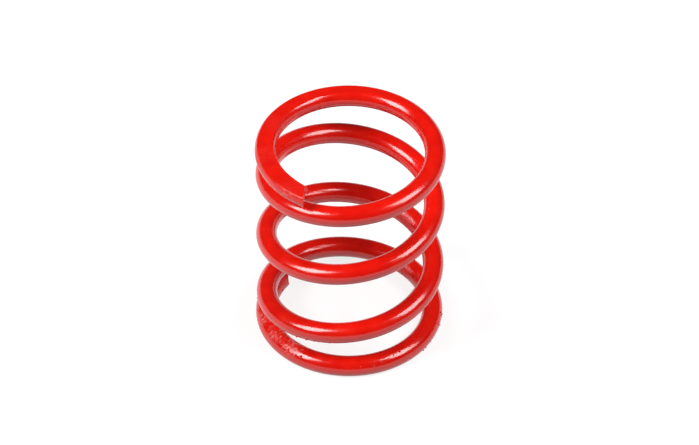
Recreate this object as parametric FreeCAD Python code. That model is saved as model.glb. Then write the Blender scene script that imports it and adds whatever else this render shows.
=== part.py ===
"""Servo saver spring: one compression spring, wound right-handed from round wire, with closed ends.

The spring stands on its lower ground face. Z is its axis, and the origin is on that axis, in the plane of
the lower face. All lengths are in millimetres, and turns are counted from the lower end of the wire.
"""

import FreeCAD
import Part

import math
import os

V = FreeCAD.Vector
UP = V(0, 0, 1)
FULL_TURN = 2 * math.pi

# Driving dimensions
WIRE_DIAMETER = 1.8
OUTSIDE_DIAMETER = 16.2
FREE_LENGTH = 19.75
TOTAL_TURNS = 4.285

# The closed ends: the rise in a turn while the coil is closed, the turns in which it then opens to the
# working pitch, and the gap left between the end of the wire and the turn that it closes down on
CLOSING_PITCH = 0.63
OPENING_TURNS = 0.9
CLOSING_GAP = 0.04

# The ends of the wire: how far they have sprung outwards, and over how many turns, and what the grinding
# takes off their height
END_SPREAD = 0.24
SPREAD_TURNS = 0.28
GRINDING_DEPTH = 0.4

# Their sheared faces: the angle, in degrees, that leaves the wire's outer side longer, the least that the
# shears take off the wire, and the rounding of the faces' edges
SHEAR_ANGLE = 27.0
SHEAR_MARGIN = 0.05
END_ROUNDING = 0.1

# Where the lower end of the wire lies, in degrees counterclockwise from +X
LOWER_END_ANGLE = 139.3

# Fineness of the helix: the stretches and points of its curve in a turn, and the halvings in its solution
STRETCHES_PER_TURN = 4
POINTS_PER_STRETCH = 6
HALVINGS = 40

PART_NAME = "coil_spring"

# Derived sizes
WIRE_RADIUS = WIRE_DIAMETER / 2
COIL_RADIUS = (OUTSIDE_DIAMETER - WIRE_DIAMETER) / 2
END_HEIGHT = WIRE_RADIUS - GRINDING_DEPTH
WHOLE_RISE = FREE_LENGTH - 2 * END_HEIGHT


def opening(from_end, closed):
    """How far the coil has opened at some turns from an end, where it stays closed for the first of them."""
    t = min(max((from_end - closed) / OPENING_TURNS, 0), 1)
    return t * t * (3 - 2 * t)


def opening_sum(from_end, closed):
    """The opening, summed over the turns from an end."""
    t = min(max((from_end - closed) / OPENING_TURNS, 0), 1)
    return OPENING_TURNS * (t ** 3 - t ** 4 / 2) + max(from_end - closed - OPENING_TURNS, 0)


def working_share(turn, closed):
    """The sum of both ends' openings up to a turn: the share of those turns that is at the working pitch."""
    left = TOTAL_TURNS - turn
    return opening_sum(turn, closed) + opening_sum(TOTAL_TURNS, closed) - opening_sum(left, closed) - turn


def pitch_growth(closed):
    """What the working pitch has over the closing pitch, so that the wire rises to its upper end."""
    return (WHOLE_RISE - CLOSING_PITCH * TOTAL_TURNS) / working_share(TOTAL_TURNS, closed)


def rise(turn, closed):
    """The height of a turn over the lower end of the wire."""
    return CLOSING_PITCH * turn + pitch_growth(closed) * working_share(turn, closed)


def closed_turns():
    """The turns at each end that stay closed, so that its wire lies on the next turn but for the gap."""
    low, high = 0.0, 1.0
    for _ in range(HALVINGS):
        closed = (low + high) / 2
        if rise(1, closed) > WIRE_DIAMETER + CLOSING_GAP:
            low = closed
        else:
            high = closed
    return low


CLOSED_TURNS = closed_turns()


def sprung(from_end):
    """How far into its sprung stretch the wire is, at some turns from an end: from 1 at the end down to 0."""
    return max(1 - from_end / SPREAD_TURNS, 0)


def winding_radius(turn):
    """The radius of the coil, to the middle of the wire, at a turn."""
    return COIL_RADIUS + END_SPREAD * (sprung(turn) ** 2 + sprung(TOTAL_TURNS - turn) ** 2)


def radius_growth(turn):
    """How fast that radius grows at a turn, for each turn."""
    return 2 * END_SPREAD / SPREAD_TURNS * (sprung(TOTAL_TURNS - turn) - sprung(turn))


def outward(turn):
    """The way from the coil's axis to the wire at a turn."""
    angle = math.radians(LOWER_END_ANGLE) + FULL_TURN * turn
    return V(math.cos(angle), math.sin(angle), 0)


def wire_centre(turn):
    """The centre of the wire at a turn."""
    return outward(turn) * winding_radius(turn) + UP * (END_HEIGHT + rise(turn, CLOSED_TURNS))


def wire_direction(turn):
    """The way that the wire runs at a turn: how its centre moves for each radian."""
    both_openings = opening(turn, CLOSED_TURNS) + opening(TOTAL_TURNS - turn, CLOSED_TURNS)
    pitch = CLOSING_PITCH + pitch_growth(CLOSED_TURNS) * (both_openings - 1)
    onward = UP.cross(outward(turn))
    moved_out_and_up = (outward(turn) * radius_growth(turn) + UP * pitch) / FULL_TURN
    return onward * winding_radius(turn) + moved_out_and_up


def centre_stretch(start, end):
    """The curve through the middle of the wire from one turn to another."""
    turns = [start + (end - start) * i / POINTS_PER_STRETCH for i in range(POINTS_PER_STRETCH + 1)]
    curve = Part.BSplineCurve()
    curve.interpolate(
        Points=[wire_centre(turn) for turn in turns],
        Parameters=[FULL_TURN * turn for turn in turns],
        InitialTangent=wire_direction(start),
        FinalTangent=wire_direction(end),
        Scale=False,
    )
    return curve.toShape()


def centre_line():
    """The helix of changing pitch through the middle of the wire, in equal stretches."""
    count = math.ceil(TOTAL_TURNS * STRETCHES_PER_TURN)
    ends = [TOTAL_TURNS * i / count for i in range(count + 1)]
    return Part.Wire([centre_stretch(start, end) for start, end in zip(ends, ends[1:])])


def wound_wire():
    """The round wire swept along the helix, square cut at both ends."""
    section = Part.Wire(Part.makeCircle(WIRE_RADIUS, wire_centre(0), wire_direction(0)))
    sweep = Part.BRepOffsetAPI.MakePipeShell(centre_line())
    sweep.setFrenetMode(True)
    sweep.add(section)
    sweep.build()
    sweep.makeSolid()
    return sweep.shape()


def sheared_off(turn, way_in):
    """The wedge that the shears take off an end of the wire. Way in is 1 or -1: the turns that lead into it."""
    into = wire_direction(turn) * way_in
    into = (into - UP * into.z).normalize()
    out = into.cross(UP) * way_in
    slope = math.tan(math.radians(SHEAR_ANGLE))
    reach = WIRE_RADIUS + 2 * SHEAR_MARGIN / slope
    half_height = WIRE_RADIUS + CLOSING_GAP / 2
    back = wire_centre(turn) - into * SHEAR_MARGIN - UP * half_height
    inner = back - out * reach
    corners = [inner, back + out * reach, inner + into * (2 * reach * slope), inner]
    return Part.Face(Part.makePolygon(corners)).extrude(UP * (2 * half_height))


def shear_ends(wire):
    """Shear both ends of the wire off at an angle, and break the edges of the faces that this leaves."""
    wedges = [sheared_off(0, 1), sheared_off(TOTAL_TURNS, -1)]
    wire = wire.cut(wedges)
    end_faces = [face for face in wire.Faces if isinstance(face.Surface, Part.Plane)]
    edges = [edge for face in end_faces for edge in face.Edges]
    return wire.makeFillet(END_ROUNDING, edges)


def grind_ends(wire):
    """Grind the spring flat at both ends, down to its free length."""
    side = OUTSIDE_DIAMETER + WIRE_DIAMETER
    below = Part.makeBox(side, side, WIRE_DIAMETER, V(-side / 2, -side / 2, -WIRE_DIAMETER))
    above = Part.makeBox(side, side, WIRE_DIAMETER, V(-side / 2, -side / 2, FREE_LENGTH))
    return wire.cut([below, above])


def coil_spring():
    """The finished spring."""
    return grind_ends(shear_ends(wound_wire()))


os.makedirs("parts", exist_ok=True)
coil_spring().exportStep(os.path.join("parts", PART_NAME + ".step"))
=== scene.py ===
"""The look of a servo saver spring: one coil of round wire, powder coated in a glossy signal red.

All lengths are in metres. Z is the coil's axis, and turns are counted from the lower end of the wire.
"""

import math
import random

import bpy
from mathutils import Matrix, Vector


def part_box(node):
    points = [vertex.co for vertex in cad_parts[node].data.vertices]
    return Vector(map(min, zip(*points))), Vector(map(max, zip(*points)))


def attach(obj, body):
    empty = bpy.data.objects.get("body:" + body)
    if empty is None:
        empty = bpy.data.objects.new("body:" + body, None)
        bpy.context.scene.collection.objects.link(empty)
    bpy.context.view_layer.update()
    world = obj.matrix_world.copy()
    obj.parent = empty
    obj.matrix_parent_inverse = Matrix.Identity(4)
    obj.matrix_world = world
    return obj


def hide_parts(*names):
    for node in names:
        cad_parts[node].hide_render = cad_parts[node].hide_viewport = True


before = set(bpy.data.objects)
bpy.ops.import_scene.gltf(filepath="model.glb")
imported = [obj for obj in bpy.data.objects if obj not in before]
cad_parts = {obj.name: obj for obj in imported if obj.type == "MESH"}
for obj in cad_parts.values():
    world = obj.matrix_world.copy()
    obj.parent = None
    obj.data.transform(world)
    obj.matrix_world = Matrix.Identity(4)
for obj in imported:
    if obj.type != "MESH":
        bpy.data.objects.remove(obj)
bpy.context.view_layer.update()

FULL_TURN = 2 * math.pi
UP = Vector((0, 0, 1))
MM = 0.001
WHITE = (1, 1, 1, 1)

# The wound wire, with the frame's own outside diameter and free length. It stays closed for as many turns
# from each end as bring that end down onto the next turn, and then opens to its working pitch
COIL_LOW, COIL_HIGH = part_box("coil_spring")
FREE_LENGTH = COIL_HIGH.z - COIL_LOW.z
WIRE_DIAMETER = 1.8 * MM
WIRE_RADIUS = WIRE_DIAMETER / 2
COIL_RADIUS = COIL_HIGH.x - WIRE_RADIUS
TOTAL_TURNS = 4.285
CLOSING_PITCH = 0.63 * MM
CLOSED_TURNS = 0.37199
OPENING_TURNS = 0.9
LOWER_END_ANGLE = math.radians(139.3)

# Its ends: sprung outwards, sheared off at an angle with a broken edge and a little hollow, and ground flat
END_SPREAD = 0.24 * MM
SPREAD_TURNS = 0.28
LOWER_SHEAR = math.radians(18)
UPPER_SHEAR = math.radians(27)
END_ROUNDING = 0.1 * MM
DISH_SLOPE = 2 * END_ROUNDING
DISH_DEPTH = 0.03 * MM
GRINDING_DEPTH = 0.4 * MM

# The lips that the shears left on the sheared faces: their side of the wire, in degrees up from straight
# outwards, and how far they stand out. Their reach is how far round a lip the face is drawn out with it
LOWER_LIPS = [(125, 0.17 * MM), (215, 0.2 * MM)]
UPPER_LIPS = [(170, 0.36 * MM), (-25, 0.04 * MM)]
LIP_REACH = 0.55 * MM

# Derived sizes: the height of the wire's centre at its lower end, what it rises from there to its upper
# end, and the turns that the rounding of an end takes up
END_HEIGHT = WIRE_RADIUS - GRINDING_DEPTH
WHOLE_RISE = FREE_LENGTH - 2 * END_HEIGHT
EDGE_TURNS = END_ROUNDING / (FULL_TURN * COIL_RADIUS)

# Fineness of the mesh that is modelled, before it is subdivided once, the rings that lean with each sheared
# face, and the angle from which an edge is crisp
SECTION_POINTS = 40
RINGS_PER_TURN = 80
LEANING_RINGS = 5
CREASE_ANGLE = math.radians(30)

# The camera, fitted to the outline of the photographed spring. It sees from the nearer to the farther
# clipping distance, which are shares of its own distance
CAMERA_ELEVATION = math.radians(41.156)
CAMERA_DISTANCE = 400.3 * MM
CAMERA_ROLL = math.radians(0.33)
AIM = Vector((-0.057 * MM, 0, 10.83 * MM))
PIXELS_PER_MM = 11.656
IMAGE_WIDTH = 699
SENSOR_WIDTH = 36
NEAR_CLIPPING = 0.01
FAR_CLIPPING = 10

# The studio: the floor's own colour as it throws light back, its white as the camera sees it, which is part
# glow and part what its shading keeps of the shadow, and the faint light from all around
FLOOR_SIZE = 1200 * MM
FLOOR_BOUNCE = (0.33, 0.33, 0.33, 1)
FLOOR_SHADED = (0.24, 0.24, 0.24, 1)
FLOOR_GLOW = 0.81
FLOOR_ROUGHNESS = 0.9
WORLD_FILL = 0.05

# The softboxes: each has its name, its azimuth from -Y towards +X and its elevation, both in degrees, and
# its radiance
SOFTBOX_DISTANCE = 250 * MM
SOFTBOX_WIDTH = 118 * MM
SOFTBOX_HEIGHT = 138 * MM
SOFTBOXES = [("right_softbox", 72, 47, 9.3), ("left_softbox", -69, 43, 11.9)]

# The coating: its colour in the clouds and between them, how rough it is where it is glossy and where it is
# hazy, and the waves of its surface. Each of these follows the middle of a soft noise
SIGNAL_RED = (0.8, 0.008, 0.001, 1)
DEEP_RED = (0.7, 0.0045, 0.001, 1)
CLOUD_SIZE = 1.2 * MM
CLOUD_DETAIL = 4
COATING_IOR = 1.63
GLOSSY = 0.14
HAZY = 0.22
PEEL_SIZE = 0.4 * MM
PEEL_DEPTH = 0.007 * MM
HAZE_SIZE = 3 * PEEL_SIZE
HAZE_DETAIL = 3
FINE_DETAIL = 2
NOISE_MIDDLE = (0.3, 0.7)

# Where the coat is thick and rough, and where, in the crevice and tip patches, pink specks are painted in
# as
# glints: painted highlights. Each patch has its turn, its side of the wire in degrees up from straight
# outwards, and its size. A share of the size, at its core, is rough all over
CREVICE_PATCHES = [(0.05 * step, 88, 1.25 * MM) for step in range(1, 6)]
TIP_PATCHES = [(4.25, -20, 1.0 * MM)]
INNER_PATCHES = [(0.73, 175, 1.2 * MM), (1.73, 175, 1.2 * MM), (0.03, 180, 1.5 * MM)]
GROUND_PATCHES = [(4.25, 60, 2.2 * MM), (4.15, 70, 2.2 * MM), (4.05, 80, 2 * MM)]
PATCH_CORE = 0.3

# The looks of those patches: the crevice and the tip get pink specks where a noise is within a narrow span,
# which are painted highlights standing in for glints on the coat's bumps, and all of them are hazy and
# grained
PAINTED_GLINT_PINK = (0.8, 0.26, 0.24, 1)
PAINTED_GLINT_SHARE = 0.8
PAINTED_GLINT_NOISE = (0.52, 0.64)
ROUGH_HAZE = 0.25
GRAIN_SIZE = 0.2 * MM
GRAIN_DEPTH = 0.05 * MM

# Nibs of dust and paint in the coat. Each patch has the turns that it lies between, its sides of the wire
# in degrees up from straight outwards, and its number of nibs. They sink in by a share of their size
NIB_PATCHES = [
    (0.10, 0.30, 35, 70, 32),
    (1.10, 1.34, -60, -15, 24),
    (0.38, 0.46, 20, 70, 5),
    (0.50, 0.60, -50, 30, 14),
    (0.03, 0.08, 170, 215, 5),
    (0.70, 0.76, 150, 195, 12),
]
SMALLEST_NIB = 0.055 * MM
LARGEST_NIB = 0.12 * MM
NIB_SINKING = 0.35
NIB_FINENESS = 2
NIB_SEED = 7


def opening_sum(from_end):
    """How far the coil has opened to its working pitch, from 0 to 1, summed over the turns from an end."""
    t = min(max((from_end - CLOSED_TURNS) / OPENING_TURNS, 0), 1)
    return OPENING_TURNS * (t ** 3 - t ** 4 / 2) + max(from_end - CLOSED_TURNS - OPENING_TURNS, 0)


def working_share(turn):
    """The share of the turns up to this one that is at the working pitch."""
    return opening_sum(turn) + opening_sum(TOTAL_TURNS) - opening_sum(TOTAL_TURNS - turn) - turn


# What the working pitch has over the closing pitch, so that the wire rises to its upper end
PITCH_GROWTH = (WHOLE_RISE - CLOSING_PITCH * TOTAL_TURNS) / working_share(TOTAL_TURNS)


def rise(turn):
    """The height of a turn over the lower end of the wire."""
    return CLOSING_PITCH * turn + PITCH_GROWTH * working_share(turn)


def winding_radius(turn):
    """The radius of the coil, to the middle of the wire, at a turn."""
    shares = [max(1 - from_end / SPREAD_TURNS, 0) for from_end in (turn, TOTAL_TURNS - turn)]
    return COIL_RADIUS + END_SPREAD * sum(share ** 2 for share in shares)


def outward(turn):
    """The way from the coil's axis to the wire at a turn."""
    angle = LOWER_END_ANGLE + FULL_TURN * turn
    return Vector((math.cos(angle), math.sin(angle), 0))


def wire_centre(turn):
    """The centre of the wire at a turn."""
    return outward(turn) * winding_radius(turn) + UP * (END_HEIGHT + rise(turn))


def side_way(turn, side):
    """The way from the centre of the wire to one of its sides, in degrees up from straight outwards."""
    return outward(turn) * math.cos(math.radians(side)) + UP * math.sin(math.radians(side))


def ring_turns():
    """The turns that the rings of the mesh lie at, with one close to each end that keeps its edge crisp."""
    count = round(TOTAL_TURNS * RINGS_PER_TURN)
    between = [TOTAL_TURNS * i / count for i in range(1, count)]
    return [0, EDGE_TURNS, *between, TOTAL_TURNS - EDGE_TURNS, TOTAL_TURNS]


def turn_selection(angle, centre=(0, 0, 0)):
    """Turn what is selected about an upright line, counterclockwise seen from above."""
    bpy.ops.transform.rotate(value=-angle, orient_axis="Z", center_override=centre)


def select_vertices(piece, wanted):
    """Select, in edit mode, the vertices that are wanted, by their number or place."""
    bpy.ops.mesh.select_all(action="DESELECT")
    bpy.ops.object.mode_set(mode="OBJECT")
    for vertex in piece.data.vertices:
        vertex.select = wanted(vertex)
    bpy.ops.object.mode_set(mode="EDIT")


def flattened(place):
    """A place as its distance from the coil's axis and its height."""
    return (math.hypot(place.x, place.y), place.z)


def select_ring(wire, ring):
    """Select one ring of the wound wire. The rings' vertices are numbered along the wire."""
    first = ring * SECTION_POINTS
    select_vertices(wire, lambda vertex: first <= vertex.index < first + SECTION_POINTS)


def wind_wire(turns):
    """Wind the wire: a round face, extruded ring by ring along the coil."""
    bpy.ops.object.select_all(action="DESELECT")
    bpy.ops.mesh.primitive_circle_add(
        vertices=SECTION_POINTS,
        radius=WIRE_RADIUS,
        fill_type="NGON",
        location=(winding_radius(0), 0, END_HEIGHT),
        rotation=(math.pi / 2, 0, 0),
    )
    wire = bpy.context.object
    wire.name = "red_coated_wire"
    bpy.ops.object.transform_apply(location=True, rotation=True, scale=True)
    bpy.ops.object.mode_set(mode="EDIT")
    bpy.ops.mesh.select_mode(type="VERT")
    bpy.ops.mesh.select_all(action="SELECT")
    turn_selection(LOWER_END_ANGLE)
    for turn, after in zip(turns, turns[1:]):
        growth = winding_radius(after) - winding_radius(turn)
        move = outward(turn) * growth + UP * (rise(after) - rise(turn))
        bpy.ops.mesh.extrude_region_move(TRANSFORM_OT_translate={"value": move})
        turn_selection((after - turn) * FULL_TURN)
    return wire


def lean_ring(wire, turn, ring, angle):
    """Lean a ring about its outer side, so that its inner side moves along the wire."""
    select_ring(wire, ring)
    pivot = outward(turn) * (winding_radius(turn) + WIRE_RADIUS)
    turn_selection(angle, pivot)
    stretch = 1 / math.cos(angle)
    bpy.ops.transform.resize(value=(stretch, stretch, 1), center_override=pivot)


def shear_ends(wire, turns):
    """Lean the sheared faces at the ends of the wire, and the few rings behind each, less and less."""
    last = len(turns) - 1
    for place in range(LEANING_RINGS):
        share = 1 - max(place - 1, 0) / (LEANING_RINGS - 1)
        lean_ring(wire, turns[place], place, -LOWER_SHEAR * share)
        lean_ring(wire, turns[last - place], last - place, UPPER_SHEAR * share)


def pull_lips(wire, turn, ring, way, lips):
    """Pull the lips of a sheared face out along the wire. Way is 1 or -1: the turns that lead out of it."""
    for side, reach in lips:
        wanted = wire_centre(turn) + side_way(turn, side) * WIRE_RADIUS
        places = [wire.data.vertices[ring * SECTION_POINTS + i].co for i in range(SECTION_POINTS)]
        nearest = min(places, key=lambda place: math.dist(flattened(place), flattened(wanted))).copy()
        select_vertices(wire, lambda vertex: vertex.co == nearest)
        bpy.ops.transform.translate(
            value=UP.cross(outward(turn)) * (reach * way),
            use_proportional_edit=True,
            use_proportional_connected=True,
            proportional_size=LIP_REACH,
        )


def dish_end(wire, ring):
    """Break the edge of a sheared face, and leave its middle a little hollow."""
    select_ring(wire, ring)
    bpy.ops.mesh.inset(thickness=END_ROUNDING)
    bpy.ops.mesh.inset(thickness=DISH_SLOPE, depth=-DISH_DEPTH)


def round_off(wire):
    """Round the wire off, between its points."""
    bpy.ops.mesh.select_all(action="SELECT")
    bpy.ops.mesh.normals_make_consistent(inside=False)
    bpy.ops.object.mode_set(mode="OBJECT")
    rounding = wire.modifiers.new("rounding", "SUBSURF")
    rounding.levels = rounding.render_levels = 1
    bpy.ops.object.modifier_apply(modifier=rounding.name)
    bpy.ops.object.mode_set(mode="EDIT")


def grind_flat(wire, height, side):
    """Press what stands out past a ground face into its plane. Side is 1 above the spring and -1 below."""
    select_vertices(wire, lambda vertex: (vertex.co.z - height) * side > 0)
    bpy.ops.transform.resize(value=(1, 1, 0), center_override=(0, 0, height))


def nib_places():
    """The place and size of each nib that lies between the ground faces."""
    dice = random.Random(NIB_SEED)
    for first, last, low, high, count in NIB_PATCHES:
        for _ in range(count):
            turn = dice.uniform(first, last)
            side = dice.uniform(low, high)
            size = dice.uniform(SMALLEST_NIB, LARGEST_NIB)
            place = wire_centre(turn) + side_way(turn, side) * (WIRE_RADIUS - size * NIB_SINKING)
            if size < place.z < FREE_LENGTH - size:
                yield place, size


def add_nibs(wire):
    """Copy one small drop to each nib's place, partly sunk in the coat, and join them to the wire."""
    bpy.ops.object.select_all(action="DESELECT")
    bpy.ops.mesh.primitive_ico_sphere_add(subdivisions=NIB_FINENESS, radius=1)
    drop = bpy.context.object
    for place, size in nib_places():
        nib = drop.copy()
        nib.data = drop.data.copy()
        nib.location = place
        nib.scale = (size, size, size)
        bpy.context.scene.collection.objects.link(nib)
        nib.select_set(True)
    drop.select_set(False)
    wire.select_set(True)
    bpy.context.view_layer.objects.active = wire
    bpy.ops.object.join()
    bpy.data.objects.remove(drop)
    bpy.ops.object.shade_smooth_by_angle(angle=CREASE_ANGLE)


def new_material(name):
    """A new material, with its node tree and its shader."""
    material = bpy.data.materials.new(name)
    material.use_nodes = True
    tree = material.node_tree
    return material, tree, tree.nodes["Principled BSDF"]


def surface_noise(tree, size, detail):
    """Soft noise through the body of the piece, in its own coordinates. Size is that of its patches."""
    coordinates = tree.nodes.new("ShaderNodeTexCoord")
    noise = tree.nodes.new("ShaderNodeTexNoise")
    noise.inputs["Scale"].default_value = 1 / size
    noise.inputs["Detail"].default_value = detail
    tree.links.new(coordinates.outputs["Object"], noise.inputs["Vector"])
    return noise.outputs["Fac"]


def spread_value(tree, noise, low, high, noise_span=NOISE_MIDDLE):
    """A value that runs from low to high as some noise runs through its span."""
    spread = tree.nodes.new("ShaderNodeMapRange")
    spread.inputs["From Min"].default_value, spread.inputs["From Max"].default_value = noise_span
    spread.inputs["To Min"].default_value = low
    spread.inputs["To Max"].default_value = high
    tree.links.new(noise, spread.inputs["Value"])
    return spread.outputs["Result"]


def calculate(tree, operation, first, second):
    """A Math node: the first of its two values is an output, and the second is an output or a number."""
    node = tree.nodes.new("ShaderNodeMath")
    node.operation = operation
    tree.links.new(first, node.inputs[0])
    if isinstance(second, (int, float)):
        node.inputs[1].default_value = second
    else:
        tree.links.new(second, node.inputs[1])
    return node.outputs[0]


def mix_colours(tree, factor, first, second):
    """A Mix node for colours, each of which is a constant or an output."""
    mix = tree.nodes.new("ShaderNodeMix")
    mix.data_type = "RGBA"
    tree.links.new(factor, mix.inputs["Factor"])
    for name, colour in (("A", first), ("B", second)):
        if isinstance(colour, tuple):
            mix.inputs[name].default_value = colour
        else:
            tree.links.new(colour, mix.inputs[name])
    return mix.outputs["Result"]


def patch_mask(tree, patches):
    """A mask that is 1 in the core of each patch and runs out to 0 at its border."""
    coordinates = tree.nodes.new("ShaderNodeTexCoord")
    whole = None
    for turn, side, size in patches:
        distance = tree.nodes.new("ShaderNodeVectorMath")
        distance.operation = "DISTANCE"
        distance.inputs[1].default_value = wire_centre(turn) + side_way(turn, side) * WIRE_RADIUS
        tree.links.new(coordinates.outputs["Object"], distance.inputs[0])
        patch = tree.nodes.new("ShaderNodeMapRange")
        patch.inputs["From Min"].default_value = size
        patch.inputs["From Max"].default_value = size * PATCH_CORE
        tree.links.new(distance.outputs["Value"], patch.inputs["Value"])
        mask = patch.outputs["Result"]
        whole = calculate(tree, "MAXIMUM", mask, whole) if whole else mask
    return whole


def add_bump(tree, height, depth, normal=None):
    """A Bump node that lays some height over the surface, or over a normal."""
    bump = tree.nodes.new("ShaderNodeBump")
    bump.inputs["Distance"].default_value = depth
    tree.links.new(height, bump.inputs["Height"])
    if normal:
        tree.links.new(normal, bump.inputs["Normal"])
    return bump.outputs["Normal"]


def red_coating():
    """Glossy signal-red powder coat: faint clouds in the colour, fine waves, a few rough patches, and pink
    specks painted in some of them as highlights.
    """
    material, tree, shader = new_material("signal_red_powder_coat")
    shader.inputs["IOR"].default_value = COATING_IOR
    glint_and_rough_mask = patch_mask(tree, CREVICE_PATCHES + TIP_PATCHES)
    rough = calculate(tree, "MAXIMUM", glint_and_rough_mask, patch_mask(tree, INNER_PATCHES + GROUND_PATCHES))
    grain = surface_noise(tree, GRAIN_SIZE, FINE_DETAIL)
    # Pink specks painted into the colour of the crevice and tip patches, as glints on the coat's bumps:
    # painted highlights
    glint_share = spread_value(tree, grain, 0, PAINTED_GLINT_SHARE, PAINTED_GLINT_NOISE)
    painted_glints = calculate(tree, "MULTIPLY", glint_and_rough_mask, glint_share)
    clouds = spread_value(tree, surface_noise(tree, CLOUD_SIZE, CLOUD_DETAIL), 0, 1)
    colour = mix_colours(tree, painted_glints, mix_colours(tree, clouds, DEEP_RED, SIGNAL_RED), PAINTED_GLINT_PINK)
    tree.links.new(colour, shader.inputs["Base Color"])
    haze = spread_value(tree, surface_noise(tree, HAZE_SIZE, HAZE_DETAIL), GLOSSY, HAZY)
    rough_haze = calculate(tree, "MULTIPLY", rough, ROUGH_HAZE)
    tree.links.new(calculate(tree, "ADD", haze, rough_haze), shader.inputs["Roughness"])
    waves = add_bump(tree, surface_noise(tree, PEEL_SIZE, FINE_DETAIL), PEEL_DEPTH)
    grains = add_bump(tree, calculate(tree, "MULTIPLY", rough, grain), GRAIN_DEPTH, waves)
    tree.links.new(grains, shader.inputs["Normal"])
    return material


def build_spring():
    """The finished spring."""
    turns = ring_turns()
    last = len(turns) - 1
    wire = wind_wire(turns)
    shear_ends(wire, turns)
    pull_lips(wire, 0, 0, -1, LOWER_LIPS)
    pull_lips(wire, TOTAL_TURNS, last, 1, UPPER_LIPS)
    dish_end(wire, 0)
    dish_end(wire, last)
    round_off(wire)
    grind_flat(wire, 0, -1)
    grind_flat(wire, FREE_LENGTH, 1)
    bpy.ops.object.mode_set(mode="OBJECT")
    add_nibs(wire)
    wire.data.materials.append(red_coating())
    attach(wire, "root")
    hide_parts("coil_spring")


def add_camera():
    """The camera looks down on the spring along +Y, as the photograph does."""
    back = Vector((0, -math.cos(CAMERA_ELEVATION), math.sin(CAMERA_ELEVATION)))
    data = bpy.data.cameras.new("camera")
    data.sensor_width = SENSOR_WIDTH
    data.lens = SENSOR_WIDTH / IMAGE_WIDTH * PIXELS_PER_MM / MM * CAMERA_DISTANCE
    data.clip_start = CAMERA_DISTANCE * NEAR_CLIPPING
    data.clip_end = CAMERA_DISTANCE * FAR_CLIPPING
    camera = bpy.data.objects.new("camera", data)
    bpy.context.scene.collection.objects.link(camera)
    camera.location = AIM + back * CAMERA_DISTANCE
    camera.rotation_euler = back.to_track_quat("Z", "Y").to_euler()
    camera.rotation_euler.rotate_axis("Z", CAMERA_ROLL)
    bpy.context.scene.camera = camera


def straight_look(tree):
    """1 where the camera sees a surface, directly, in a reflection or through glass, and 0 elsewhere."""
    path = tree.nodes.new("ShaderNodeLightPath")
    total = path.outputs["Is Camera Ray"]
    for name in ("Is Glossy Ray", "Is Transmission Ray"):
        total = calculate(tree, "ADD", total, path.outputs[name])
        total.node.use_clamp = True
    return total


def white_floor():
    """Matt and pale as it throws light back, and white with the spring's shadow as the camera sees it."""
    material, tree, shader = new_material("white_floor")
    shader.inputs["Roughness"].default_value = FLOOR_ROUGHNESS
    shader.inputs["Specular IOR Level"].default_value = 0.0
    shader.inputs["Emission Color"].default_value = WHITE
    look = straight_look(tree)
    tree.links.new(mix_colours(tree, look, FLOOR_BOUNCE, FLOOR_SHADED), shader.inputs["Base Color"])
    tree.links.new(calculate(tree, "MULTIPLY", look, FLOOR_GLOW), shader.inputs["Emission Strength"])
    return material


def add_floor():
    """A plain floor under the spring."""
    bpy.ops.object.select_all(action="DESELECT")
    bpy.ops.mesh.primitive_plane_add(size=FLOOR_SIZE, location=(0, 0, 0))
    floor = bpy.context.object
    floor.name = "floor"
    floor.data.materials.append(white_floor())


def add_softbox(name, azimuth, elevation, radiance):
    """A wide softbox that looks at the spring, and that the camera doesn't see."""
    azimuth, elevation = math.radians(azimuth), math.radians(elevation)
    flat = math.cos(elevation)
    towards = Vector((math.sin(azimuth) * flat, -math.cos(azimuth) * flat, math.sin(elevation)))
    lamp = bpy.data.lights.new(name, "AREA")
    lamp.shape = "RECTANGLE"
    lamp.size = SOFTBOX_WIDTH
    lamp.size_y = SOFTBOX_HEIGHT
    lamp.energy = radiance * math.pi * SOFTBOX_WIDTH * SOFTBOX_HEIGHT
    box = bpy.data.objects.new(name, lamp)
    bpy.context.scene.collection.objects.link(box)
    box.location = Vector((0, 0, FREE_LENGTH / 2)) + towards * SOFTBOX_DISTANCE
    box.rotation_euler = towards.to_track_quat("Z", "Y").to_euler()
    box.visible_camera = False


def light_world():
    """Faint light from all around."""
    world = bpy.data.worlds.new("studio")
    bpy.context.scene.world = world
    world.use_nodes = True
    fill = world.node_tree.nodes["Background"]
    fill.inputs["Color"].default_value = WHITE
    fill.inputs["Strength"].default_value = WORLD_FILL


build_spring()
add_camera()
add_floor()
for softbox in SOFTBOXES:
    add_softbox(*softbox)
light_world()

bpy.context.scene.view_settings.view_transform = "Standard"
